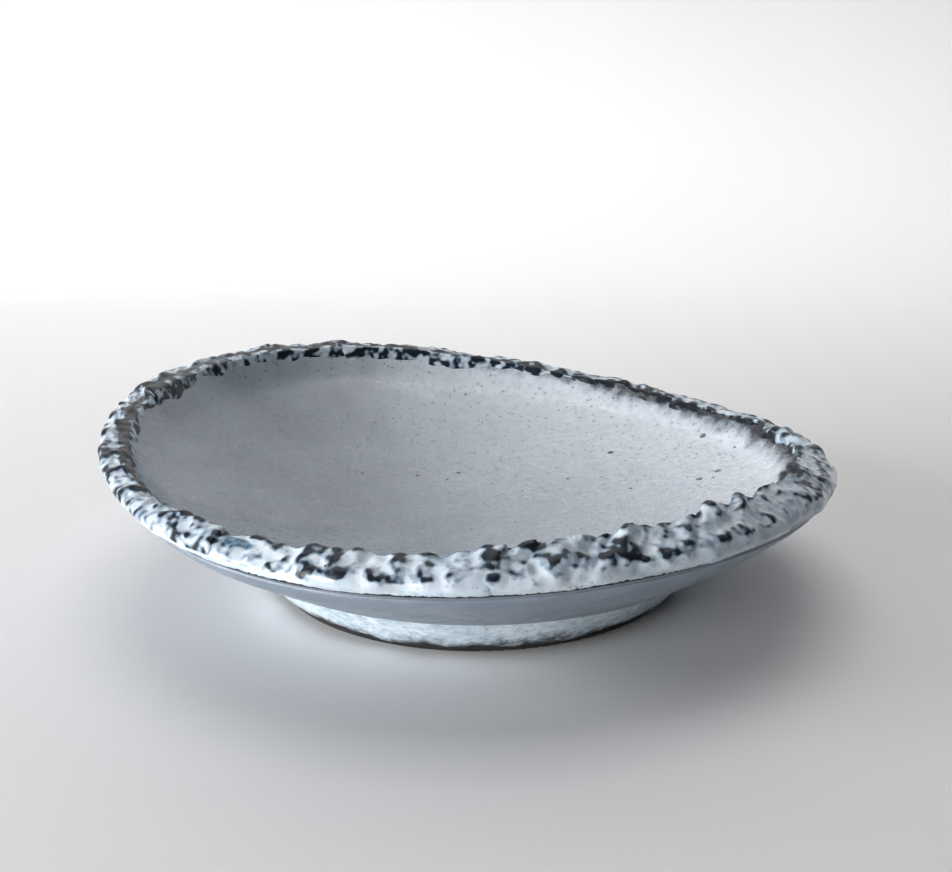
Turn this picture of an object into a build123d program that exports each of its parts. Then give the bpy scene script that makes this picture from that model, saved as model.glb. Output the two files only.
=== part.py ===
from build123d import *
import os
from math import ceil, cos, hypot, atan2, radians, sin

# Footed stoneware bowl with a torn, lapped rim. Millimetres, +Z up.
# The bowl stands on its foot ring. It is drawn about the wheel's axis, and the finished pieces are
# written with the middle of the whole bowl's box over the origin.

# Driving dimensions
foot_base_radius = 69.0     # outside of the foot ring where it stands
foot_top_radius = 81.6      # outside of the foot ring where it meets the dish
foot_height = 16.4
foot_wall = 8.5             # thickness of the ring at its base
foot_inner_flare = 4.0      # how much wider the recess is at its top than at its base
foot_edge_round = 1.6       # rounded edges that the ring stands on
bare_foot = 3.0             # height of bare clay left below the foot's glaze

floor_thickness = 5.0       # dish at its centre
wall_start = 0.762          # slope of the dish's underside at the foot, as a share of its average
well_power = 2.5            # 2 is a parabola; more gives a flatter floor and a steeper wall

crest_radius = 114.2        # torn inner edge of the rim, the bowl's highest line
crest_height = 52.8
crest_shift = 4.9           # rim pushed towards -X from the wheel's axis
crest_wobble = 1.4          # three slow swellings in the crest's plan
crest_wobble_phase = 223.0
crest_lean_x = 4.8          # -X side stands this much higher
crest_lean_y = 1.9          # +Y side stands this much higher
crest_saddle = 5.2          # rim warped like a saddle, high at the back left and the front right

band_width = 10.8           # plan width of the rim band, from crest to lip
band_width_right = 1.2      # wider on the right, at the back and across the saddle's high corners
band_width_back = 0.9
band_width_saddle = 1.6
band_drop = 6.0             # the lip's lower edge lies this much below the crest
band_drop_right = 2.4
band_drop_front = 2.6
band_drop_sides = -0.9
band_drop_saddle = -0.5

rim_clay = 7.0              # height of the strip's clay over the dish wall at the crest
toe_reach = 5.0             # the strip's inner toe starts this far inside the crest
band_crown = 1.3            # how far the band swells above a straight line from crest to lip
lip_tuck = 0.7              # the lip's lower edge lies this far inside its nose
lip_depth = 2.4             # and this far below it
under_reach = 9.0           # the strip ends this far inside the lip's nose, under the dish
under_drop = 6.2            # and the dish's underside passes this far below the lip's edge there
toe_sink = 0.8              # the inner toe is pressed this deep into the dish
edge_cover = 0.3            # share of the band's width that the dish's wall reaches under the strip

lap_angles = (20.0, 61.0, 120.0, 169.0, 234.0, 272.0, 325.0)   # degrees, where strip meets strip
lap_skews = (20.0, -15.0, 25.0, -20.0, 15.0, -25.0, 28.0)      # each joint's slant across the band
lap_swell = 1.3             # the strip on top of a lap is this much thicker at its end
lap_length = 9.0            # degrees over which it swells

glaze = 0.9                 # thickness of every glaze coat
glaze_gap = 0.3             # the coats stop this far from the strips and the foot

section_step = 6.0          # degrees between the sections of a strip
section_pad = 8.0           # degrees that a strip runs past its joints before it is trimmed
outline_points = 48
sheet_points = 37
sheet_margin = 7.0          # the squares of surface that shape the dish reach this far past the lip

dish_foot_radius = foot_top_radius + glaze
under_rise = crest_height - band_drop - under_drop - foot_height
average_slope = under_rise / (crest_radius + band_width - under_reach - dish_foot_radius)
sheet_half = crest_radius + band_width + sheet_margin
tall = crest_height * 2
os.makedirs("parts", exist_ok=True)


# The rim's curves, by the angle round the wheel's axis in radians
def crest_r(a):
    wobble = crest_wobble * cos(3 * a - radians(crest_wobble_phase))
    return crest_radius - crest_shift * cos(a) - wobble


def crest_z(a):
    lean = -crest_lean_x * cos(a) + crest_lean_y * sin(a)
    return crest_height + lean - crest_saddle * sin(2 * a)


def lip_r(a):
    sides = band_width_right * cos(a) + band_width_back * sin(a)
    return crest_r(a) + band_width + sides - band_width_saddle * sin(2 * a)


def lip_z(a):
    """Height of the lip's lower outer edge."""
    sides = band_drop_right * cos(a) - band_drop_front * sin(a)
    warp = band_drop_sides * cos(2 * a) + band_drop_saddle * sin(2 * a)
    return crest_z(a) - band_drop - sides - warp


def edge_r(a):
    """Outline of the dish itself, hidden inside the rim strips."""
    return crest_r(a) + edge_cover * (lip_r(a) - crest_r(a))


# Heights of the dish's two faces over a point of the plan
def well_z(x, y):
    r, a = hypot(x, y), atan2(y, x)
    floor = foot_height + floor_thickness
    return floor + (crest_z(a) - rim_clay - floor) * (r / crest_r(a)) ** well_power


def under_z(x, y):
    r, a = hypot(x, y), atan2(y, x)
    end_r = lip_r(a) - under_reach
    bend = wall_start * average_slope / (2 * dish_foot_radius)
    pull = lip_z(a) - under_drop - foot_height - bend * (end_r**2 - dish_foot_radius**2)
    share = max((r - dish_foot_radius) / (end_r - dish_foot_radius), 0)
    return foot_height + bend * (r**2 - dish_foot_radius**2) + pull * share**2


def sheet(height, lift=0.0):
    """A square of surface that follows a height over the plan, raised by lift."""
    step = 2 * sheet_half / (sheet_points - 1)
    places = [-sheet_half + step * i for i in range(sheet_points)]
    return Face.make_surface_from_array_of_points(
        [[(x, y, height(x, y) + lift) for y in places] for x in places], tol=0.02
    )


def ring_points(radius, inset=0.0):
    angles = [radians(360 * i / outline_points) for i in range(outline_points)]
    return [((radius(a) - inset) * cos(a), (radius(a) - inset) * sin(a)) for a in angles]


well_face = sheet(well_z)
glazed_well_face = sheet(well_z, glaze)
under_face = sheet(under_z)
glazed_under_face = sheet(under_z, -glaze)

# The thrown dish, from its flat bottom over the foot to its edge inside the rim
with BuildPart() as dish:
    with BuildSketch(Plane.XY.offset(foot_height)):
        with BuildLine():
            Spline(*ring_points(edge_r), periodic=True)
        make_face()
    extrude(amount=tall)
    extrude(well_face, amount=tall, dir=(0, 0, 1), mode=Mode.SUBTRACT)
    extrude(under_face, amount=tall, dir=(0, 0, -1), mode=Mode.SUBTRACT)
dish.part.label = "dish"

# The foot ring: flared outside, with rounded edges to stand on
with BuildPart() as foot_ring:
    with BuildSketch(Plane.XZ):
        with BuildLine():
            Polyline(
                (foot_base_radius - foot_wall, 0),
                (foot_base_radius, 0),
                (foot_top_radius, foot_height),
                (foot_base_radius - foot_wall + foot_inner_flare, foot_height),
                close=True,
            )
        make_face()
    revolve(axis=Axis.Z)
    fillet(foot_ring.edges().group_by(Axis.Z)[0], radius=foot_edge_round)
foot_ring.part.label = "foot_ring"

# Glaze on the outside of the foot, down to the bare clay that it stands on
foot_slope = (foot_top_radius - foot_base_radius) / foot_height
bare_radius = foot_base_radius + foot_slope * bare_foot
with BuildPart() as foot_glaze:
    with BuildSketch(Plane.XZ):
        with BuildLine():
            Polyline(
                (bare_radius, bare_foot),
                (bare_radius + glaze, bare_foot),
                (foot_top_radius + glaze, foot_height),
                (foot_top_radius, foot_height),
                close=True,
            )
        make_face()
    revolve(axis=Axis.Z)
foot_glaze.part.label = "foot_glaze"

# Glaze over the whole inside of the dish, up to the strips' toes
with BuildPart() as well_glaze:
    with BuildSketch(Plane.XY.offset(foot_height)):
        with BuildLine():
            Spline(*ring_points(crest_r, toe_reach - glaze_gap), periodic=True)
        make_face()
    extrude(amount=tall)
    extrude(glazed_well_face, amount=tall, dir=(0, 0, 1), mode=Mode.SUBTRACT)
    extrude(well_face, amount=tall, dir=(0, 0, -1), mode=Mode.SUBTRACT)
well_glaze.part.label = "well_glaze"

# Glaze under the dish, from the foot out to the strips
with BuildPart() as underside_glaze:
    with BuildSketch():
        with BuildLine():
            Spline(*ring_points(lip_r, under_reach + glaze_gap), periodic=True)
        make_face()
        Circle(dish_foot_radius + glaze_gap, mode=Mode.SUBTRACT)
    extrude(amount=tall)
    extrude(under_face, amount=tall, dir=(0, 0, 1), mode=Mode.SUBTRACT)
    extrude(glazed_under_face, amount=tall, dir=(0, 0, -1), mode=Mode.SUBTRACT)
underside_glaze.part.label = "underside_glaze"


def radial_plane(a):
    return Plane(origin=(0, 0, 0), x_dir=(cos(a), sin(a), 0), z_dir=(sin(a), -cos(a), 0))


def lap_plane(index):
    """Slanted upright plane between one strip and the next, facing increasing angles."""
    a = radians(lap_angles[index])
    facing = a + radians(90 + lap_skews[index])
    middle = (crest_r(a) + lip_r(a)) / 2
    return Plane(
        origin=(middle * cos(a), middle * sin(a), 0),
        x_dir=(0, 0, 1),
        z_dir=(cos(facing), sin(facing), 0),
    )


def strip_section(a, swell):
    """Section of a rim strip: inner face, crest, crowned band, lip, and its edge under the dish."""
    toe_r, under_r = crest_r(a) - toe_reach, lip_r(a) - under_reach
    toe_z = well_z(toe_r * cos(a), toe_r * sin(a)) - toe_sink
    under_top_z = under_z(under_r * cos(a), under_r * sin(a))
    core_z = (under_top_z + well_z(under_r * cos(a), under_r * sin(a))) / 2
    under_end_z = under_top_z - glaze
    crest = (crest_r(a), crest_z(a) + swell)
    nose = (lip_r(a), lip_z(a) + lip_depth + swell / 2)
    crown = ((crest[0] + nose[0]) / 2, (crest[1] + nose[1]) / 2 + band_crown)
    edge = (lip_r(a) - lip_tuck, lip_z(a))
    with BuildSketch(radial_plane(a)) as section:
        with BuildLine():
            Line((toe_r, toe_z), crest)
            Spline(crest, crown, nose, edge)
            Polyline(edge, (under_r, under_end_z), (under_r, core_z), (toe_r, toe_z))
        make_face()
    return section.sketch


# The torn strips, laid end to end over the dish's edge, each lapped onto the next
strips = []
for number, start in enumerate(lap_angles):
    following = (number + 1) % len(lap_angles)
    end = lap_angles[following] + (360 if following == 0 else 0)
    span = end - start + 2 * section_pad
    stations = ceil(span / section_step) + 1
    sections = []
    for i in range(stations):
        degree = start - section_pad + span * i / (stations - 1)
        reached = min(max(1 - (end - degree) / lap_length, 0), 1)
        swell = lap_swell * reached**2 * (3 - 2 * reached)
        sections.append(strip_section(radians(degree), swell))
    with BuildPart() as strip:
        loft(sections)
        split(bisect_by=lap_plane(number), keep=Keep.TOP)
        split(bisect_by=lap_plane(following), keep=Keep.BOTTOM)
        add(dish.part, mode=Mode.SUBTRACT)
    strip.part.label = f"rim_strip_{number + 1}"
    strips.append(strip.part)

pieces = [dish.part, foot_ring.part, foot_glaze.part, well_glaze.part, underside_glaze.part]
pieces += strips
whole = Compound(children=[Compound(piece.wrapped) for piece in pieces]).bounding_box()
middle = whole.center()
for piece in pieces:
    export_step(Pos(-middle.X, -middle.Y, 0) * piece, f"parts/{piece.label}.step")
print("wheel axis at", round(-middle.X, 3), round(-middle.Y, 3))
print("size", [round(v, 2) for v in whole.size], "lowest", round(whole.min.Z, 4))
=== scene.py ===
import math

import bpy
import numpy as np
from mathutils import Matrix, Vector, noise
from mathutils.bvhtree import BVHTree
from mathutils.kdtree import KDTree


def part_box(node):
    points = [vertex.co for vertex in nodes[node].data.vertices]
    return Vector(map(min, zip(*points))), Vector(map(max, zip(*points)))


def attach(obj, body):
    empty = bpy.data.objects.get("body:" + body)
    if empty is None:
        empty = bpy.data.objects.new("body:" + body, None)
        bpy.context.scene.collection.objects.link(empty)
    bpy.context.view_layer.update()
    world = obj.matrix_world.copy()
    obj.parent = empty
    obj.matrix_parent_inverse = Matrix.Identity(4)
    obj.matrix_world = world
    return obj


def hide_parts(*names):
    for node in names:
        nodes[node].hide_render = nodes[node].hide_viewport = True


# Looks of a hand-made stoneware bowl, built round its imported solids. Metres, +Z up.
# Torn clay strips are roughened and glazed, and skins of glaze are laid over the well, the
# underside and the foot. Everything rides on the bowl's only body.
MM = 0.001

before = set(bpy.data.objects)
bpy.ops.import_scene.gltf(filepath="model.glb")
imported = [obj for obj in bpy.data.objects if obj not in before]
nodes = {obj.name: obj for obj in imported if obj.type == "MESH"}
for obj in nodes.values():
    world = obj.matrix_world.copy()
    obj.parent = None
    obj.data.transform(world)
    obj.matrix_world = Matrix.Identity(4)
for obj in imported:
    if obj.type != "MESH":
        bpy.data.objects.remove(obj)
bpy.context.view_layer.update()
strip_names = sorted(name for name in nodes if name.startswith("rim_strip_"))

foot_low, foot_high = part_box("foot_ring")
axis = Vector(((foot_low[0] + foot_high[0]) / 2, (foot_low[1] + foot_high[1]) / 2, 0))
foot_top = foot_high[2]
glaze_low, glaze_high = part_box("foot_glaze")
foot_glaze_radius = (glaze_high[0] - glaze_low[0]) / 2
bare_height = glaze_low[2]

# Camera: distance from the bowl, degrees up, degrees that it looks over the bowl, and lens
CAMERA_DISTANCE = 0.4375
CAMERA_UP = 21.6
CAMERA_TILT = 6.3
CAMERA_LENS = 45.4

# Floor: a sheet this wide that curves up into a wall
FLOOR_WIDTH = 4.0
WALL_AT = 0.95
WALL_HEIGHT = 2.5
WALL_BEND = 0.35

# Steps of the meshes
STRIP_GRAIN = 0.4 * MM
SKIN_STEPS = 400           # quads round each skin of glaze
WELL_RINGS = 100
UNDER_RINGS = 40
FOOT_RINGS = 20
MERGE = 0.01 * MM          # corners closer than this are one

# The rim as packed
TOE_REACH = 5 * MM         # a strip's inner face reaches this far inside its crest
LIP_DEPTH = 2.4 * MM       # and its lip this far below its nose
RIM_SMOOTH = 9             # degrees that the rim's curves are averaged over
INNER_SLANT = 0.45         # slope that parts a strip's inner face from its lip's under face
INNER_MARGIN = 2.5 * MM

# The rim as torn: how big its folds and lumps are, and how far they stand out
FOLD_SIZE = 10 * MM
FOLD_SLANT = 5             # degrees that a fold leans over from crest to lip
FOLD_AT_CREST = 1.1 * MM
FOLD_ON_BAND = 0.5 * MM
ROUGHEST = 320             # degrees round where the folds are deepest
ROUGH_SPAN = 55
LUMP_SIZE = 4 * MM
LUMP_SPREAD = 0.26         # noise of this strength counts as one whole lump
LUMP_DEPTH = 0.26 * MM
BROAD_SIZE = 16 * MM
BROAD_DEPTH = 1.0 * MM
LIP_WAVE_SIZE = 26 * MM
LIP_WAVE_DEPTH = 1.2 * MM
UNDER_LIP = 1.6            # share across the band where the strip turns in under the dish
LAP_ROUND = 3.5 * MM       # length of a strip's end that is pressed down
LAP_PRESSES = 24
LAP_OVER = 2.0 * MM        # how far a strip's end is pushed into its neighbour
LAP_FADE = 7 * MM          # and how far back along the strip that push fades out

# The rim's glaze: where the dark clay breaks through
SPOTTED_LOW = 185          # degrees round where the spots reach down over the lip's nose
SPOTTED_SPAN = 45
POOL_WIDTH = 0.24          # half width of a blue pool, as a share of the band
# Blue pools: degrees round, share across the band, and half length in degrees
RIM_POOLS = [(238, 0.42, 3.2), (152, 0.50, 2.4), (61, 0.55, 2.0), (12, 0.40, 2.8)]

# Skins of glaze
GLAZE = 0.9 * MM
WELL_SOFTENING = 24        # passes that round the well into the strips
WELL_EDGE = 0.9 * MM       # the well's skin stops this far inside the crest
WELL_TUCK = 1.0 * MM       # where its edge is sunk this deep into the strips
WELL_TUCK_WIDTH = 2.3 * MM
WELL_RIPPLE = 0.35 * MM
CREST_FADE = 9 * MM        # width of the dark fade inside the crest
RING_HOLE = 0.2            # inner radius of the unit ring that the underside is made from
FOOT_CLEARANCE = 0.1 * MM
LIP_CLEARANCE = 1.9 * MM   # the underside's skin stops this far inside the lip's nose
UNDER_TUCK = 0.35 * MM     # where its edge is sunk this deep
UNDER_TUCK_WIDTH = 2 * MM
UNDER_LIFT = 0.6 * MM      # and the rest stands this far out
UNDER_SMOOTH = 6
GAP_SPAN = 0.6 * MM        # the underside's skin bridges gaps up to twice this wide
FOOT_FLARE = 0.768         # widening of the foot over its height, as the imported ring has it
DRIP_DEPTH = 1.6 * MM      # wavering of the foot glaze's lower edge
FOOT_COAT_DEPTH = 0.22 * MM
FOOT_EDGE_THIN = 0.35 * MM

# Iron spots: how many, their radii, and the side of the well that most of them lie towards
WELL_SPOTS = 19
RIM_SPOTS = 2
SPOT_SMALLEST = 0.5 * MM
SPOT_LARGEST = 1.5 * MM
SPOTS_TOWARDS = 50         # degrees round
SPOTS_SPAN = 80
SPOT_SEED = 4

# Linear colours of the finishes
INK = (0.009, 0.013, 0.020)            # clay that has broken through the glaze
SLATE = (0.085, 0.130, 0.185)
MILK = (0.62, 0.69, 0.755)
MILK_CLOUD = (0.40, 0.50, 0.59)
VEIL = (0.27, 0.34, 0.41)
POOL = (0.045, 0.115, 0.185)
POOL_PALE = (0.15, 0.25, 0.34)
IRON = (0.034, 0.024, 0.010)
WELL_PAINTED_SHADE = (0.265, 0.30, 0.345)       # painted shade: the well's -X, -Y side, darkened as though in shade
WELL_PAINTED_LIGHT = (0.71, 0.755, 0.81)        # painted light: its far side, lightened as though lit
WELL_CLOUD = (0.50, 0.58, 0.67)
WELL_MOTTLE = (0.25, 0.30, 0.37)
WELL_DOT = (0.04, 0.045, 0.05)
WELL_FADE = (0.12, 0.155, 0.20)
UNDER_DEEP = (0.20, 0.235, 0.285)
UNDER_PALE = (0.26, 0.30, 0.36)
UNDER_EDGE = (0.22, 0.255, 0.305)
FOOT_DEEP = (0.62, 0.73, 0.80)
FOOT_PALE = (0.78, 0.865, 0.91)
FOOT_SMOKE = (0.10, 0.12, 0.14)
OUTER_MOTTLE = (0.20, 0.30, 0.40)
OUTER_PIN = (0.12, 0.20, 0.29)
CLAY_DARK = (0.010, 0.010, 0.012)
CLAY_WARM = (0.020, 0.019, 0.019)
CLAY_GRIT = (0.045, 0.040, 0.036)
FLOOR_DEEP = (0.76, 0.755, 0.76)
FLOOR_PALE = (0.80, 0.795, 0.795)


# ---------------------------------------------------------------- camera and light
def set_camera():
    up = math.radians(CAMERA_UP)
    bpy.ops.object.camera_add(
        location=(axis.x, axis.y - CAMERA_DISTANCE * math.cos(up), CAMERA_DISTANCE * math.sin(up)),
        rotation=(math.pi / 2 - up + math.radians(CAMERA_TILT), 0, 0),
    )
    camera = bpy.context.object
    camera.data.lens = CAMERA_LENS
    camera.data.clip_start = 0.01
    bpy.context.scene.camera = camera


def area_light(name, place, aim, size, power, colour, spread=180):
    bpy.ops.object.light_add(type="AREA", location=place)
    light = bpy.context.object
    light.name = name
    light.rotation_euler = (Vector(aim) - Vector(place)).to_track_quat("-Z", "Y").to_euler()
    light.data.shape = "RECTANGLE"
    light.data.size, light.data.size_y = size
    light.data.energy = power
    light.data.color = colour
    light.data.spread = math.radians(spread)


def round_the_bowl(azimuth, elevation, distance):
    """A place seen from the bowl at an azimuth, 0 along +X and 90 along +Y, and an elevation."""
    turn, rise = math.radians(azimuth), math.radians(elevation)
    flat = distance * math.cos(rise)
    return (axis.x + flat * math.cos(turn), axis.y + flat * math.sin(turn), distance * math.sin(rise))


def set_lights():
    bowl = (axis.x, axis.y, 0.03)
    area_light(
        "window", round_the_bowl(azimuth=217, elevation=7, distance=1.3), bowl,
        size=(1.0, 0.24), power=19, colour=(1.0, 1.0, 1.0),
    )
    area_light(
        "sky", round_the_bowl(azimuth=195, elevation=21, distance=1.3), bowl,
        size=(0.6, 0.22), power=7, colour=(0.97, 0.985, 1.0),
    )
    area_light(
        "ceiling", place=(0, 0.3, 2.0), aim=(0, 0.3, 0),
        size=(1.5, 1.5), power=14, colour=(0.98, 0.99, 1.0),
    )
    area_light(
        "wall", place=(0, 0.6, 1.5), aim=(0, 1.0, 0.35),
        size=(2.4, 0.3), power=5.3, colour=(1.0, 0.99, 0.975), spread=95,
    )
    world = bpy.data.worlds.new("room")
    world.use_nodes = True
    background = world.node_tree.nodes["Background"]
    background.inputs["Color"].default_value = (0.95, 0.97, 1.0, 1)
    background.inputs["Strength"].default_value = 0.06
    bpy.context.scene.world = world
    bpy.context.scene.view_settings.view_transform = "Standard"


# ---------------------------------------------------------------- materials
def place(tree, kind, **settings):
    """Adds a shader node; a setting is one of its own or an input's value."""
    made = tree.nodes.new(kind)
    for name, value in settings.items():
        if hasattr(made, name):
            setattr(made, name, value)
        else:
            made.inputs[name].default_value = value
    return made


def maths(tree, operation, first, second):
    made = place(tree, "ShaderNodeMath", operation=operation)
    for socket, value in zip(made.inputs, (first, second)):
        if isinstance(value, (int, float)):
            socket.default_value = value
        else:
            tree.links.new(value, socket)
    return made.outputs[0]


def plus(tree, value, added, weight):
    """A value with another one added to it, by a weight."""
    return maths(tree, "ADD", value, maths(tree, "MULTIPLY", added, weight))


def ramp(tree, value, low, high, start=0.0, end=1.0):
    """Smooth step from start to end, as a value goes from low to high."""
    made = place(tree, "ShaderNodeMapRange", interpolation_type="SMOOTHSTEP")
    tree.links.new(value, made.inputs["Value"])
    limits = {"From Min": low, "From Max": high, "To Min": start, "To Max": end}
    for name, limit in limits.items():
        made.inputs[name].default_value = limit
    return made.outputs[0]


def mix(tree, share, first, second):
    """Mixes two colours by a share; each is a socket or a plain colour."""
    made = place(tree, "ShaderNodeMix", data_type="RGBA")
    tree.links.new(share, made.inputs[0])
    for socket, value in ((made.inputs[6], first), (made.inputs[7], second)):
        if isinstance(value, tuple):
            socket.default_value = (*value, 1)
        else:
            tree.links.new(value, socket)
    return made.outputs[2]


def coat(tree, colour, over, mask, strength):
    """Lays a colour over another where a mask is, as thickly as the strength."""
    return mix(tree, maths(tree, "MULTIPLY", mask, strength), colour, over)


def noise_of(tree, vector, scale, detail=3.0, roughness=0.5):
    made = place(tree, "ShaderNodeTexNoise", Scale=scale, Detail=detail, Roughness=roughness)
    tree.links.new(vector, made.inputs["Vector"])
    return made.outputs["Fac"]


def level_noise(tree, vector, scale, detail, roughness=0.5):
    """Noise about nought."""
    return maths(tree, "SUBTRACT", noise_of(tree, vector, scale, detail, roughness), 0.5)


def new_group(name, inputs, outputs):
    tree = bpy.data.node_groups.new(name, "ShaderNodeTree")
    for label, kind, value in inputs:
        socket = tree.interface.new_socket(label, in_out="INPUT", socket_type=kind)
        if value is not None:
            socket.default_value = value
    for label, kind in outputs:
        tree.interface.new_socket(label, in_out="OUTPUT", socket_type=kind)
    return tree, tree.nodes.new("NodeGroupInput").outputs, tree.nodes.new("NodeGroupOutput").inputs


def speckle_group():
    """Pin dots: one in some cells, at a size that varies from cell to cell."""
    tree, given, out = new_group(
        "speckle",
        [("Vector", "NodeSocketVector", None), ("Scale", "NodeSocketFloat", 900.0),
         ("Share", "NodeSocketFloat", 0.3), ("Size", "NodeSocketFloat", 0.3)],
        [("Mask", "NodeSocketFloat")],
    )
    cells = place(tree, "ShaderNodeTexVoronoi")
    tree.links.new(given["Vector"], cells.inputs["Vector"])
    tree.links.new(given["Scale"], cells.inputs["Scale"])
    split = place(tree, "ShaderNodeSeparateColor")
    tree.links.new(cells.outputs["Color"], split.inputs["Color"])
    chosen = maths(tree, "LESS_THAN", split.outputs["Red"], given["Share"])
    reach = maths(tree, "MULTIPLY", given["Size"], maths(tree, "ADD", split.outputs["Green"], 0.35))
    near = maths(tree, "SUBTRACT", 1.0, maths(tree, "DIVIDE", cells.outputs["Distance"], reach))
    tree.links.new(maths(tree, "MULTIPLY", ramp(tree, near, 0.0, 0.45), chosen), out["Mask"])
    return tree


def clouding_group():
    """Soft patches of thicker and thinner glaze, and a finer mottle."""
    tree, given, out = new_group(
        "clouding",
        [("Vector", "NodeSocketVector", None), ("Scale", "NodeSocketFloat", 30.0),
         ("Mottle", "NodeSocketFloat", 400.0)],
        [("Patches", "NodeSocketFloat"), ("Mottle", "NodeSocketFloat")],
    )
    for scale, detail, shown in (("Scale", 4.0, "Patches"), ("Mottle", 3.0, "Mottle")):
        made = place(tree, "ShaderNodeTexNoise", Detail=detail)
        tree.links.new(given["Vector"], made.inputs["Vector"])
        tree.links.new(given[scale], made.inputs["Scale"])
        tree.links.new(ramp(tree, made.outputs["Fac"], 0.35, 0.68), out[shown])
    return tree


def new_material(name, roughness=0.3):
    made = bpy.data.materials.new(name)
    made.use_nodes = True
    tree = made.node_tree
    shader = tree.nodes["Principled BSDF"]
    shader.inputs["Roughness"].default_value = roughness
    vector = place(tree, "ShaderNodeTexCoord").outputs["Object"]
    return made, tree, shader, vector


def use_group(tree, group, vector, **values):
    made = place(tree, "ShaderNodeGroup")
    made.node_tree = group
    tree.links.new(vector, made.inputs["Vector"])
    for name, value in values.items():
        made.inputs[name].default_value = value
    return made.outputs


def bump(tree, shader, height, strength, distance):
    made = place(tree, "ShaderNodeBump", Strength=strength, Distance=distance)
    tree.links.new(height, made.inputs["Height"])
    tree.links.new(made.outputs["Normal"], shader.inputs["Normal"])


def attribute(tree, name):
    return place(tree, "ShaderNodeAttribute", attribute_name=name).outputs["Fac"]


SPECKLE, CLOUDING = speckle_group(), clouding_group()


def spotted(tree, vector, colour, spots):
    """Iron spots burst through the glaze: each is a place and a radius."""
    for x, y, z, size in spots:
        away = place(tree, "ShaderNodeVectorMath", operation="DISTANCE")
        tree.links.new(vector, away.inputs[0])
        away.inputs[1].default_value = (x, y, z)
        reach = plus(tree, away.outputs["Value"], noise_of(tree, vector, 900.0, 2.0), size * 0.9)
        mask = ramp(tree, reach, size * 1.15, size * 1.7, 1.0, 0.0)
        colour = coat(tree, colour, IRON, mask, 0.9)
    return colour


def well_material(spots):
    """Satin pale blue-grey with fine blue speckle, iron spots, a dark fade inside the crest, and
    painted shade darkening the well towards its -X, -Y side.
    """
    made, tree, shader, vector = new_material("well glaze")
    clouds = use_group(tree, CLOUDING, vector, Scale=26.0, Mottle=420.0)
    parts = place(tree, "ShaderNodeSeparateXYZ")
    tree.links.new(vector, parts.inputs["Vector"])
    # painted light and shade: the well's colour ramps from dark on its -X, -Y side to pale on its far
    # side, as the window's light falls
    painted_shading = maths(tree, "MULTIPLY", parts.outputs["X"], 0.82)
    painted_shading = plus(tree, painted_shading, parts.outputs["Y"], 0.57)
    painted_shading = plus(tree, painted_shading, clouds["Patches"], 0.015)
    colour = mix(tree, ramp(tree, painted_shading, -0.055, 0.12), WELL_PAINTED_SHADE, WELL_PAINTED_LIGHT)
    colour = coat(tree, colour, WELL_CLOUD, clouds["Patches"], 0.22)
    colour = coat(tree, colour, WELL_MOTTLE, clouds["Mottle"], 0.30)
    pins = use_group(tree, SPECKLE, vector, Scale=560.0, Share=0.32, Size=0.40)["Mask"]
    colour = coat(tree, colour, SLATE, pins, 0.55)
    dots = use_group(tree, SPECKLE, vector, Scale=105.0, Share=0.14, Size=0.085)["Mask"]
    colour = coat(tree, colour, WELL_DOT, dots, 0.75)
    colour = spotted(tree, vector, colour, spots)
    thin = plus(tree, attribute(tree, "rise"), level_noise(tree, vector, 170.0, 4.0, 0.6), 0.9)
    thin = plus(tree, thin, level_noise(tree, vector, 38.0, 2.0), 0.8)
    thin = maths(tree, "ADD", thin, 0.05)
    colour = mix(tree, ramp(tree, thin, 0.15, 0.75, 0.0, 0.85), colour, WELL_FADE)
    colour = mix(tree, ramp(tree, thin, 0.48, 0.85), colour, INK)
    tree.links.new(colour, shader.inputs["Base Color"])
    tree.links.new(ramp(tree, clouds["Mottle"], 0.0, 1.0, 0.26, 0.36), shader.inputs["Roughness"])
    bump(tree, shader, noise_of(tree, vector, 110.0), 0.14, 0.6 * MM)
    return made


def rim_material(spots):
    """White and blue glaze pooled in the hollows of torn clay, near black where it breaks, and a
    painted shade line under the lip.
    """
    made, tree, shader, vector = new_material("rim glaze")
    relief, across, pool = (attribute(tree, name) for name in ("relief", "across", "pool"))
    fine = level_noise(tree, vector, 620.0, 4.0, 0.65)
    height = plus(tree, relief, fine, 1.1)
    clouds = use_group(tree, CLOUDING, vector, Scale=110.0, Mottle=700.0)
    milk = coat(tree, MILK, MILK_CLOUD, clouds["Patches"], 0.7)
    pins = use_group(tree, SPECKLE, vector, Scale=650.0, Share=0.35, Size=0.38)["Mask"]
    milk = coat(tree, milk, VEIL, pins, 0.5)
    colour = mix(tree, ramp(tree, height, -0.55, 0.40), milk, VEIL)
    blue = mix(tree, ramp(tree, clouds["Mottle"], 0.2, 0.8), POOL, POOL_PALE)
    colour = mix(tree, ramp(tree, pool, 0.35, 0.75), colour, blue)
    colour = mix(tree, ramp(tree, height, 0.38, 0.85), colour, SLATE)
    colour = mix(tree, ramp(tree, height, 0.60, 1.15), colour, INK)
    edge = plus(tree, across, fine, 0.7)
    # painted shade: a dark line in the bare clay's colour just below the lip's nose, where shade
    # falls under the overhang
    colour = mix(tree, ramp(tree, edge, 1.66, 1.80), colour, INK)
    colour = mix(tree, ramp(tree, edge, 1.95, 2.15), colour, UNDER_EDGE)
    colour = spotted(tree, vector, colour, spots)
    tree.links.new(colour, shader.inputs["Base Color"])
    tree.links.new(ramp(tree, height, 0.2, 1.0, 0.13, 0.36), shader.inputs["Roughness"])
    shader.inputs["Specular IOR Level"].default_value = 0.32
    bump(tree, shader, maths(tree, "ADD", fine, noise_of(tree, vector, 1500.0, 2.0)), 0.22, 0.25 * MM)
    return made


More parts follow.
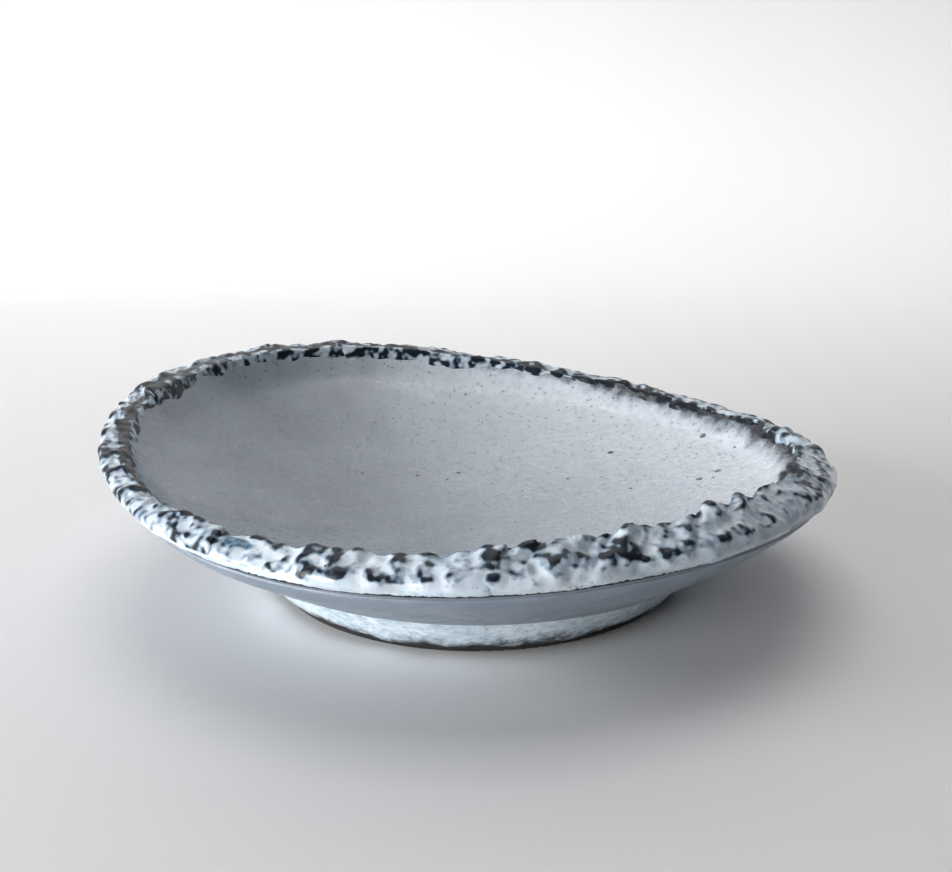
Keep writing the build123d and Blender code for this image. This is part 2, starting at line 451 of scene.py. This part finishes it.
def outer_material(name, base, paler, depth, foot=False):
    """Clouded glaze of the outside; on the foot it breaks to dark clay at its lower edge."""
    made, tree, shader, vector = new_material(name)
    flat = place(tree, "ShaderNodeMapping", Scale=(1, 1, 1.7))
    tree.links.new(vector, flat.inputs["Vector"])
    laid = flat.outputs["Vector"]
    clouds = use_group(tree, CLOUDING, laid, Scale=70.0, Mottle=330.0)
    colour = mix(tree, clouds["Patches"], base, paler)
    colour = coat(tree, colour, OUTER_MOTTLE, clouds["Mottle"], depth)
    pins = use_group(tree, SPECKLE, laid, Scale=520.0, Share=0.36, Size=0.42)["Mask"]
    colour = coat(tree, colour, OUTER_PIN, pins, depth)
    if foot:
        edge = plus(tree, attribute(tree, "low"), level_noise(tree, vector, 420.0, 4.0, 0.7), 0.7)
        edge = plus(tree, edge, level_noise(tree, vector, 75.0, 2.0), 0.5)
        colour = mix(tree, ramp(tree, edge, 0.62, 1.0, 0.0, 0.7), colour, FOOT_SMOKE)
        colour = mix(tree, ramp(tree, edge, 0.8, 1.05), colour, INK)
    tree.links.new(colour, shader.inputs["Base Color"])
    tree.links.new(ramp(tree, clouds["Mottle"], 0.0, 1.0, 0.28, 0.42), shader.inputs["Roughness"])
    bump(tree, shader, noise_of(tree, vector, 260.0, 4.0), 0.15, 0.4 * MM)
    return made


def clay_material():
    made, tree, shader, vector = new_material("dark stoneware", 0.75)
    grain = noise_of(tree, vector, 900.0, 4.0, 0.7)
    body = noise_of(tree, vector, 60.0)
    colour = mix(tree, ramp(tree, body, 0.35, 0.7), CLAY_DARK, CLAY_WARM)
    colour = mix(tree, ramp(tree, grain, 0.55, 0.75, 0.0, 0.4), colour, CLAY_GRIT)
    tree.links.new(colour, shader.inputs["Base Color"])
    bump(tree, shader, grain, 0.5, 0.3 * MM)
    return made


def floor_material():
    made, tree, shader, vector = new_material("pale painted floor", 0.6)
    colour = mix(tree, noise_of(tree, vector, 3.0, 2.0), FLOOR_DEEP, FLOOR_PALE)
    tree.links.new(colour, shader.inputs["Base Color"])
    return made


# ---------------------------------------------------------------- meshes
def select_only(piece):
    bpy.ops.object.select_all(action="DESELECT")
    piece.select_set(True)
    bpy.context.view_layer.objects.active = piece


def pick_edges(piece, wanted):
    """Leaves a piece in edit mode with only the edges selected whose two corners are wanted."""
    bpy.ops.object.mode_set(mode="EDIT")
    bpy.ops.mesh.select_mode(type="EDGE")
    bpy.ops.mesh.select_all(action="DESELECT")
    bpy.ops.object.mode_set(mode="OBJECT")
    corners = piece.data.vertices
    for edge in piece.data.edges:
        edge.select = wanted(*(corners[index].co for index in edge.vertices))
    bpy.ops.object.mode_set(mode="EDIT")


def apply_modifiers(piece):
    select_only(piece)
    for modifier in list(piece.modifiers):
        bpy.ops.object.modifier_apply(modifier=modifier.name)


def vectors_of(piece, name):
    """Every corner's co or normal, one row each."""
    flat = np.empty(len(piece.data.vertices) * 3)
    piece.data.vertices.foreach_get(name, flat)
    return flat.reshape(-1, 3)


def move_to(piece, points):
    piece.data.vertices.foreach_set("co", points.reshape(-1))
    piece.data.update()


def store(piece, name, values):
    made = piece.data.attributes.new(name, "FLOAT", "POINT")
    made.data.foreach_set("value", np.asarray(values, dtype=np.float32))


def polar(points):
    """Radius and degrees round the wheel's axis."""
    x, y = points[:, 0] - axis.x, points[:, 1] - axis.y
    return np.hypot(x, y), np.degrees(np.arctan2(y, x)) % 360


def plan(radius, turn):
    """X and Y of a radius and a turn in radians round the wheel's axis."""
    return axis.x + radius * np.cos(turn), axis.y + radius * np.sin(turn)


def degrees_from(angle, middle):
    return (angle - middle + 180) % 360 - 180


def bell(value, middle, width):
    return np.exp(-(((value - middle) / width) ** 2))


def noise_at(points, size, octaves=1, seed=0.0):
    """Noise with lumps of about a size, drawn at every point."""
    shift = Vector((seed, seed * 1.7, -seed))
    if octaves > 1:
        return np.array([noise.fractal(Vector(p) / size + shift, 0.55, 2.1, octaves) for p in points])
    return np.array([noise.noise(Vector(p) / size + shift) for p in points])


def scatter_spots(points, weight, count):
    """Draws some of a surface's own points, likelier where the weight is more, with a radius each."""
    draw = np.random.default_rng(SPOT_SEED)
    chosen = draw.choice(len(points), count, replace=False, p=weight / weight.sum())
    sizes = SPOT_SMALLEST + (SPOT_LARGEST - SPOT_SMALLEST) * draw.random(count) ** 2.5
    return [(*map(float, points[index]), float(size)) for index, size in zip(chosen, sizes)]


def remeshed(node, name):
    """A copy of a CAD node, merged, with an even grain and its edges a little rounded."""
    piece = node.copy()
    piece.data = node.data.copy()
    piece.name = name
    bpy.context.scene.collection.objects.link(piece)
    select_only(piece)
    bpy.ops.object.mode_set(mode="EDIT")
    bpy.ops.mesh.select_all(action="SELECT")
    bpy.ops.mesh.remove_doubles(threshold=MERGE)
    bpy.ops.object.mode_set(mode="OBJECT")
    remesh = piece.modifiers.new("remesh", "REMESH")
    remesh.mode = "VOXEL"
    remesh.voxel_size = STRIP_GRAIN
    rounding = piece.modifiers.new("rounding", "SMOOTH")
    rounding.iterations = 4
    apply_modifiers(piece)
    bpy.ops.object.shade_smooth()
    return piece


class Rim:
    """The rim's crest and lip, read from the strips, by the angle round the wheel's axis."""

    def __init__(self, strips):
        points = np.concatenate([vectors_of(piece, "co") for piece in strips])
        radius, angle = polar(points)
        found = np.zeros((4, 360))
        for degree in range(360):
            inside = (angle.astype(int) % 360) == degree
            r, z = radius[inside], points[inside, 2]
            top, out = z.argmax(), r.argmax()
            found[:, degree] = r[top], z[top], r[out], z[out]
        smooth = np.ones(RIM_SMOOTH) / RIM_SMOOTH
        wrap = RIM_SMOOTH // 2
        wrapped = np.concatenate([found[:, -wrap:], found, found[:, :wrap]], 1)
        self.curves = [np.convolve(curve, smooth, mode="valid") for curve in wrapped]

    def at(self, angle):
        """Radius and height of the crest, then of the lip's nose."""
        degrees = np.arange(361) + 0.5
        return [np.interp(angle, degrees, np.append(c, c[0]), period=360) for c in self.curves]


# ---------------------------------------------------------------- the torn rim
def across_band(points, radius, curves):
    """-1 at a strip's toe, 0 at its crest, 1 at the nose of its lip and 2 below that."""
    crest_r, crest_z, lip_r, lip_z = curves
    across = (radius - crest_r) / (lip_r - crest_r)
    across = np.where(radius < crest_r, (radius - crest_r) / TOE_REACH, across)
    inner = (points[:, 2] - crest_z) * INNER_SLANT + INNER_MARGIN
    below = (points[:, 2] < lip_z) & (radius - crest_r > inner)
    return np.where(below, 1 + (lip_z - points[:, 2]) / LIP_DEPTH, across)


def to_end(points, endwise, way):
    """How far each point of a strip is from its end that faces one way round the rim."""
    ends = np.flatnonzero(endwise * way > 0.75)
    tree = KDTree(len(ends))
    for index in ends:
        tree.insert(points[index], int(index))
    tree.balance()
    return np.array([tree.find(point)[2] for point in points])


def round_lap(piece, away):
    """Presses down the swollen end of a strip, which lies on top of its neighbour."""
    group = piece.vertex_groups.new(name="lap")
    weights = np.clip(1.2 - away / LAP_ROUND, 0, 1)
    for index in np.flatnonzero(weights > 0.01):
        group.add([int(index)], float(weights[index]), "REPLACE")
    press = piece.modifiers.new("press", "SMOOTH")
    press.vertex_group = group.name
    press.iterations = LAP_PRESSES
    apply_modifiers(piece)
    piece.vertex_groups.clear()


def folds_of(angle, across, lip_radius):
    """Ropy folds that run over the band, deepest on one side of the rim."""
    turn = np.radians(angle + FOLD_SLANT * across)
    unrolled = np.stack([np.cos(turn), np.sin(turn), 0 * turn], 1) * lip_radius
    folds = np.abs(noise_at(unrolled, FOLD_SIZE, seed=5.0)) * 2.4 - 0.45
    return folds * (0.62 + 0.6 * bell(degrees_from(angle, ROUGHEST), 0, ROUGH_SPAN))


def pools_of(points, angle, across):
    """Where the glaze has run together into blue pools."""
    pool = np.zeros(len(angle))
    for middle, level, length in RIM_POOLS:
        here = bell(degrees_from(angle, middle), 0, length) * bell(across, level, POOL_WIDTH)
        pool = np.maximum(pool, here)
    return pool + 0.25 * noise_at(points, LUMP_SIZE, 2, seed=17.0)


def thinness(angle, across, broad):
    """Where the glaze is thin: crest, inner face and a row on the band, and none on the lip."""
    bias = 0.30 * bell(across, 0.72, 0.20) - 0.35 * bell(across, 0.20, 0.12)
    bias += 0.9 * bell(across, 0, 0.07) + 2.2 * np.clip(-across * 2.5, 0, 1) + 0.6 * broad
    bias -= 1.5 * np.clip((-across - 0.55) * 2.2, 0, 1)
    spotted_low = bell(degrees_from(angle, SPOTTED_LOW), 0, SPOTTED_SPAN)
    bias += 0.45 * spotted_low * bell(across, 0.95, 0.35)
    return bias - 5 * np.clip((across - 0.90 - 0.5 * spotted_low) * 5, 0, 1)


def tear(piece, rim):
    """Roughens a strip: folds and lumps on the band, scallops on the crest, and a smooth lip.

    Returns each point's place across the band.
    """
    points, outward = vectors_of(piece, "co"), vectors_of(piece, "normal")
    radius, angle = polar(points)
    curves = rim.at(angle)
    across = across_band(points, radius, curves)
    folds = folds_of(angle, across, curves[2].mean())
    lumps = noise_at(points, LUMP_SIZE, 2) / LUMP_SPREAD
    soft = noise_at(points, LUMP_SIZE) / LUMP_SPREAD
    broad = noise_at(points, BROAD_SIZE, 2, seed=7.0)
    lip_wave = noise_at(points, LIP_WAVE_SIZE, 2, seed=11.0)

    on_band = np.clip((1.15 - across) * 3, 0, 1) * np.clip(1.6 + across * 1.6, 0, 1)
    push = folds * (FOLD_AT_CREST * bell(across, 0, 0.35) + FOLD_ON_BAND * on_band)
    push += soft * LUMP_DEPTH * on_band + broad * BROAD_DEPTH * (across < UNDER_LIP)
    push += lip_wave * LIP_WAVE_DEPTH * bell(across, 1, 0.7)
    turn = np.radians(angle)
    tangent = np.stack([-np.sin(turn), np.cos(turn), 0 * turn], 1)
    endwise = (outward * tangent).sum(1)
    move = outward * (push * np.clip((1 - np.abs(endwise)) * 2.5, 0, 1))[:, None]
    far, near = to_end(points, endwise, 1), to_end(points, endwise, -1)
    slide = np.clip(1 - far / LAP_FADE, 0, 1) - np.clip(1 - near / LAP_FADE, 0, 1)
    move_to(piece, points + move + tangent * (LAP_OVER * slide)[:, None])
    round_lap(piece, far)

    pool = pools_of(points, angle, across)
    relief = lumps * 0.68 - 0.12 + thinness(angle, across, broad)
    store(piece, "relief", relief - 1.2 * np.clip(pool * 1.6 - 0.4, 0, 1))
    store(piece, "across", across)
    store(piece, "pool", pool)
    return across


# ---------------------------------------------------------------- the skins of glaze
def tree_of(names):
    """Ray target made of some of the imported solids."""
    corners, faces = [], []
    for name in names:
        mesh = nodes[name].data
        start = len(corners)
        corners += [tuple(v.co) for v in mesh.vertices]
        faces += [tuple(start + i for i in face.vertices) for face in mesh.polygons]
    return BVHTree.FromPolygons(corners, faces)


def heights(tree, x, y, down):
    """Where upright rays meet a target, from above or from below; nan where they miss it."""
    start, way = (1.0, -1) if down else (-1.0, 1)
    hits = [tree.ray_cast(Vector((a, b, start)), Vector((0, 0, way)))[0] for a, b in zip(x, y)]
    return np.array([hit.z if hit else np.nan for hit in hits])


def spun_disc(name, rings, hole=0.0):
    """A disc of radius 1 about the origin, spun from a divided line; hole leaves a ring."""
    bpy.ops.object.select_all(action="DESELECT")
    bpy.ops.mesh.primitive_plane_add(size=1, location=(0, 0, 0))
    piece = bpy.context.object
    piece.name = name
    piece.data.name = name
    bpy.ops.object.mode_set(mode="EDIT")
    bpy.ops.mesh.select_all(action="DESELECT")
    bpy.ops.object.mode_set(mode="OBJECT")
    for corner in piece.data.vertices:
        corner.select = corner.co.y > 0
    bpy.ops.object.mode_set(mode="EDIT")
    bpy.ops.mesh.delete(type="VERT")
    bpy.ops.object.mode_set(mode="OBJECT")
    inner, outer = sorted(piece.data.vertices, key=lambda corner: corner.co.x)
    inner.co, outer.co = (hole, 0, 0), (1, 0, 0)
    bpy.ops.object.mode_set(mode="EDIT")
    bpy.ops.mesh.select_all(action="SELECT")
    bpy.ops.mesh.subdivide(number_cuts=rings - 1)
    bpy.ops.mesh.select_all(action="SELECT")
    bpy.ops.mesh.spin(steps=SKIN_STEPS, angle=2 * math.pi, center=(0, 0, 0), axis=(0, 0, 1))
    bpy.ops.mesh.select_all(action="SELECT")
    bpy.ops.mesh.remove_doubles(threshold=MERGE)
    bpy.ops.mesh.normals_make_consistent(inside=False)
    bpy.ops.object.mode_set(mode="OBJECT")
    bpy.ops.object.shade_smooth()
    return piece


def face_way(piece, upwards):
    """Turns a sheet over if it faces the wrong way."""
    total = sum(face.normal.z * face.area for face in piece.data.polygons)
    if (total > 0) != upwards:
        select_only(piece)
        bpy.ops.object.mode_set(mode="EDIT")
        bpy.ops.mesh.select_all(action="SELECT")
        bpy.ops.mesh.flip_normals()
        bpy.ops.object.mode_set(mode="OBJECT")


def thicken(piece, smoothing=0):
    """Smooths a sheet and gives it the glaze's thickness behind its face."""
    if smoothing:
        smooth = piece.modifiers.new("smooth", "SMOOTH")
        smooth.iterations = smoothing
    solid = piece.modifiers.new("thickness", "SOLIDIFY")
    solid.thickness = GLAZE
    solid.offset = -1
    apply_modifiers(piece)


def well_skin(rim, target):
    """Glaze over the whole inside of the bowl, tucked into the torn strips under the crest.

    Returns the skin and its iron spots.
    """
    piece = spun_disc("well_skin", WELL_RINGS)
    flat = vectors_of(piece, "co")
    share, turned = np.hypot(flat[:, 0], flat[:, 1]), np.arctan2(flat[:, 1], flat[:, 0])
    ring = np.rint(share * WELL_RINGS).astype(int)
    spoke = np.rint(turned / (2 * np.pi) * SKIN_STEPS).astype(int) % SKIN_STEPS

    turn = np.arange(SKIN_STEPS) * 2 * np.pi / SKIN_STEPS
    reach = rim.at(np.degrees(turn))[0] - WELL_EDGE
    radius = np.outer(np.arange(WELL_RINGS + 1) / WELL_RINGS, reach)
    x, y = plan(radius, turn)
    z = heights(target, x.ravel(), y.ravel(), True).reshape(x.shape) + GLAZE
    z[0] = z[0].mean()
    for _ in range(WELL_SOFTENING):
        z[1:-1] = (z[:-2] + 2 * z[1:-1] + z[2:]) / 4
    gap = reach - radius
    z -= (GLAZE + WELL_TUCK) * np.clip(1 - gap / WELL_TUCK_WIDTH, 0, 1)
    points = np.stack([x[ring, spoke], y[ring, spoke], z[ring, spoke]], 1)
    points[:, 2] += noise_at(points, 22 * MM, 2, seed=23.0) * WELL_RIPPLE * np.clip(share * 2, 0, 1)
    move_to(piece, points)
    store(piece, "rise", 1 - (gap[ring, spoke] + WELL_EDGE) / CREST_FADE)
    towards = bell(degrees_from(np.degrees(turned), SPOTS_TOWARDS), 0, SPOTS_SPAN)
    spots = scatter_spots(points, share * (share < 0.92) * (0.25 + towards), WELL_SPOTS)
    face_way(piece, True)
    thicken(piece)
    return piece, spots


def underside_skin(rim, target, dish):
    """Glaze under the dish, from the foot out to the painted shade line under the lip."""
    piece = spun_disc("underside_skin", UNDER_RINGS, hole=RING_HOLE)
    flat = vectors_of(piece, "co")
    turn = np.arctan2(flat[:, 1], flat[:, 0])
    share = (np.hypot(flat[:, 0], flat[:, 1]) - RING_HOLE) / (1 - RING_HOLE)
    inner = foot_glaze_radius + FOOT_CLEARANCE
    outer = rim.at(np.degrees(turn) % 360)[2] - LIP_CLEARANCE
    radius = inner + (outer - inner) * share
    shifts = (-GAP_SPAN, 0, GAP_SPAN)
    z = np.fmin.reduce([heights(target, *plan(radius + shift, turn), False) for shift in shifts])
    x, y = plan(radius, turn)
    z = np.where(np.isnan(z), heights(dish, x, y, False) - GLAZE, z)
    z -= np.interp(outer - radius, [0, UNDER_TUCK_WIDTH], [-UNDER_TUCK, UNDER_LIFT])
    move_to(piece, np.stack([x, y, z], 1))
    face_way(piece, False)
    thicken(piece, UNDER_SMOOTH)
    return piece


def foot_skin():
    """Glaze on the foot, thicker in places and stopped at a wavering line above the bare clay."""
    height = foot_top - bare_height
    bpy.ops.object.select_all(action="DESELECT")
    bpy.ops.mesh.primitive_cone_add(
        vertices=SKIN_STEPS, radius1=foot_glaze_radius - FOOT_FLARE * height,
        radius2=foot_glaze_radius, depth=height, end_fill_type="NOTHING",
        location=(axis.x, axis.y, bare_height + height / 2),
    )
    piece = bpy.context.object
    piece.name = "foot_skin"
    bpy.ops.object.transform_apply()
    pick_edges(piece, lambda first, second: abs(first.z - second.z) > height / 2)
    bpy.ops.mesh.subdivide(number_cuts=FOOT_RINGS)
    bpy.ops.mesh.select_mode(type="VERT")
    bpy.ops.object.mode_set(mode="OBJECT")
    bpy.ops.object.shade_smooth()

    points = vectors_of(piece, "co")
    low = 1 - (points[:, 2] - bare_height) / height
    radius, angle = polar(points)
    drop = noise_at(points * np.array([1, 1, 0]), 17 * MM, 3, seed=31.0) * DRIP_DEPTH * low
    thick = noise_at(points, 9 * MM, 2, seed=37.0) * FOOT_COAT_DEPTH
    thick -= FOOT_EDGE_THIN * bell(low, 1, 0.10)
    x, y = plan(radius - FOOT_FLARE * drop + thick, np.radians(angle))
    move_to(piece, np.stack([x, y, points[:, 2] - drop], 1))
    store(piece, "low", low)
    thicken(piece)
    return piece


def finish_piece(piece, node, material):
    piece.data.materials.clear()
    piece.data.materials.append(material)
    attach(piece, "root")
    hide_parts(node)


def lay_floor():
    """A pale floor that curves up into a wall behind the bowl."""
    bpy.ops.object.select_all(action="DESELECT")
    bpy.ops.mesh.primitive_plane_add(size=FLOOR_WIDTH, location=(0, WALL_AT - FLOOR_WIDTH / 2, 0))
    floor = bpy.context.object
    floor.name = "floor"
    bpy.ops.object.transform_apply()
    pick_edges(floor, lambda first, second: min(first.y, second.y) > WALL_AT - MM)
    bpy.ops.mesh.extrude_region_move(TRANSFORM_OT_translate={"value": (0, 0, WALL_HEIGHT)})
    bpy.ops.mesh.select_mode(type="VERT")
    bpy.ops.object.mode_set(mode="OBJECT")
    bend = floor.modifiers.new("bend", "BEVEL")
    bend.width = WALL_BEND
    bend.segments = 24
    bend.limit_method = "ANGLE"
    apply_modifiers(floor)
    bpy.ops.object.shade_smooth()
    floor.data.materials.append(floor_material())


# ---------------------------------------------------------------- the bowl
set_camera()
set_lights()
lay_floor()

strips = [remeshed(nodes[name], name.replace("rim", "torn")) for name in strip_names]
rim = Rim(strips)
across = np.concatenate([tear(piece, rim) for piece in strips])
places = np.concatenate([vectors_of(piece, "co") for piece in strips])
glazed_rim = rim_material(scatter_spots(places, bell(across, 0.8, 0.15), RIM_SPOTS))
for piece, node in zip(strips, strip_names):
    finish_piece(piece, node, glazed_rim)

well, well_spots = well_skin(rim, tree_of(["dish", *strip_names]))
finish_piece(well, "well_glaze", well_material(well_spots))

under = underside_skin(rim, tree_of(["underside_glaze", *strip_names]), tree_of(["dish"]))
under_coat = outer_material("underside glaze", UNDER_DEEP, UNDER_PALE, depth=0.25)
finish_piece(under, "underside_glaze", under_coat)

foot = foot_skin()
foot_coat = outer_material("foot glaze", FOOT_DEEP, FOOT_PALE, depth=0.45, foot=True)
finish_piece(foot, "foot_glaze", foot_coat)

clay = clay_material()
for name in ("dish", "foot_ring"):
    nodes[name].data.materials.clear()
    nodes[name].data.materials.append(clay)
